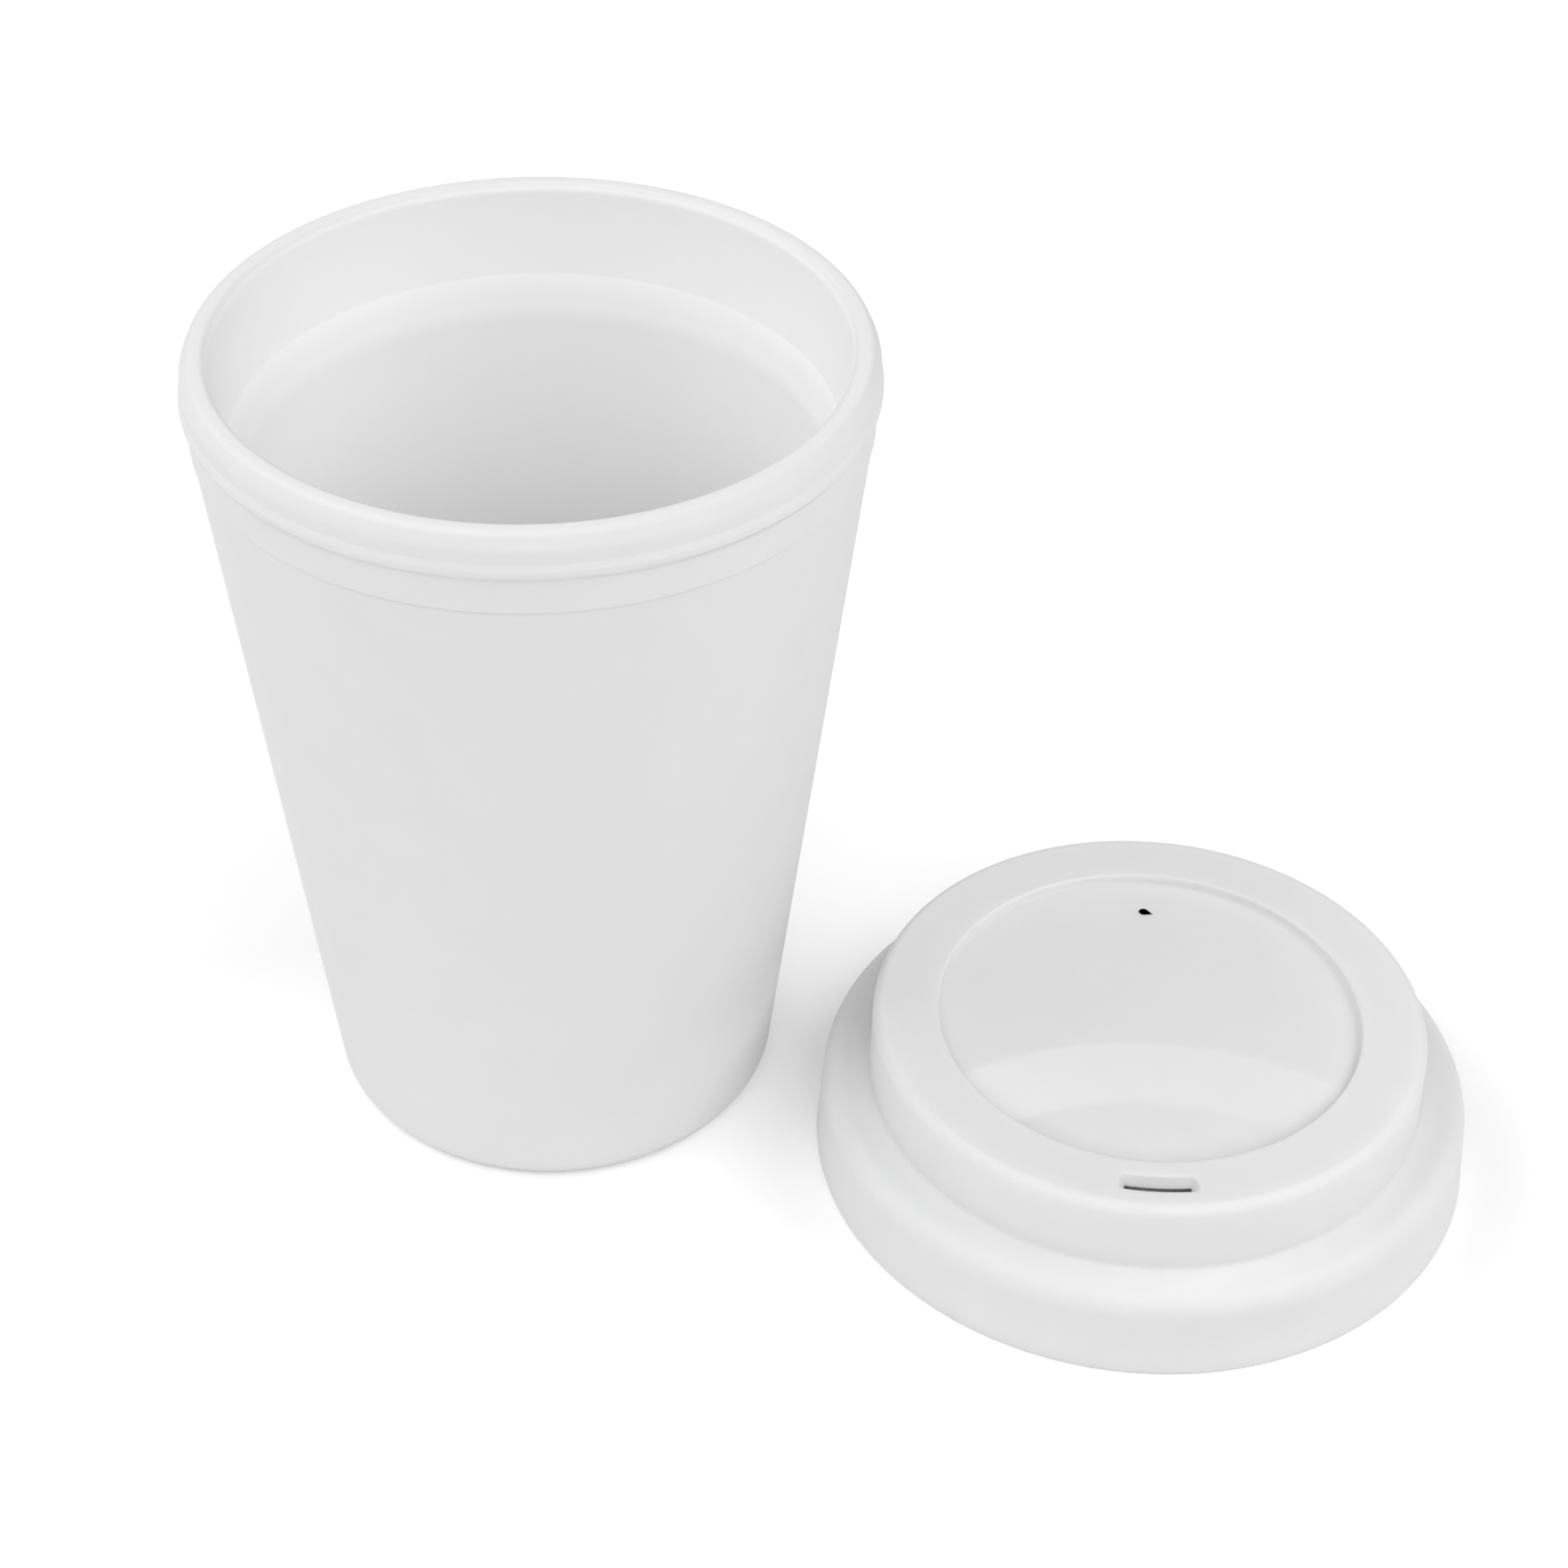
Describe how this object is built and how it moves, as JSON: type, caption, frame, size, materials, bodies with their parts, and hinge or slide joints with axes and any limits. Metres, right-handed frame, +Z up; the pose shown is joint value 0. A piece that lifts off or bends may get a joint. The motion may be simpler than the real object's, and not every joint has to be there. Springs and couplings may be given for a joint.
{
  "type": "reusable take-away cup with lid",
  "caption": "Tapered double-wall take-away cup with a rounded lip, snap bead and collar, and its soft stepped sip lid lying open side down beside it.",
  "frame": {"origin": "middle of the cup's foot, on the surface the cup stands on", "axes": "+Z up along the cup's axis; the lid lies towards +X and a little towards -Y; the lid's sip slot faces about -Y"},
  "size_m": [0.1789, 0.1219, 0.122],
  "materials": {
    "cup_plastic": "moulded polypropylene, off-white, satin with a very fine texture",
    "lid_silicone": "moulded silicone rubber, white, matte"
  },
  "bodies": {
    "root": {"inner_cup": "cup_plastic", "outer_shell": "cup_plastic", "lid": "lid_silicone"}
  },
  "joints": []
}
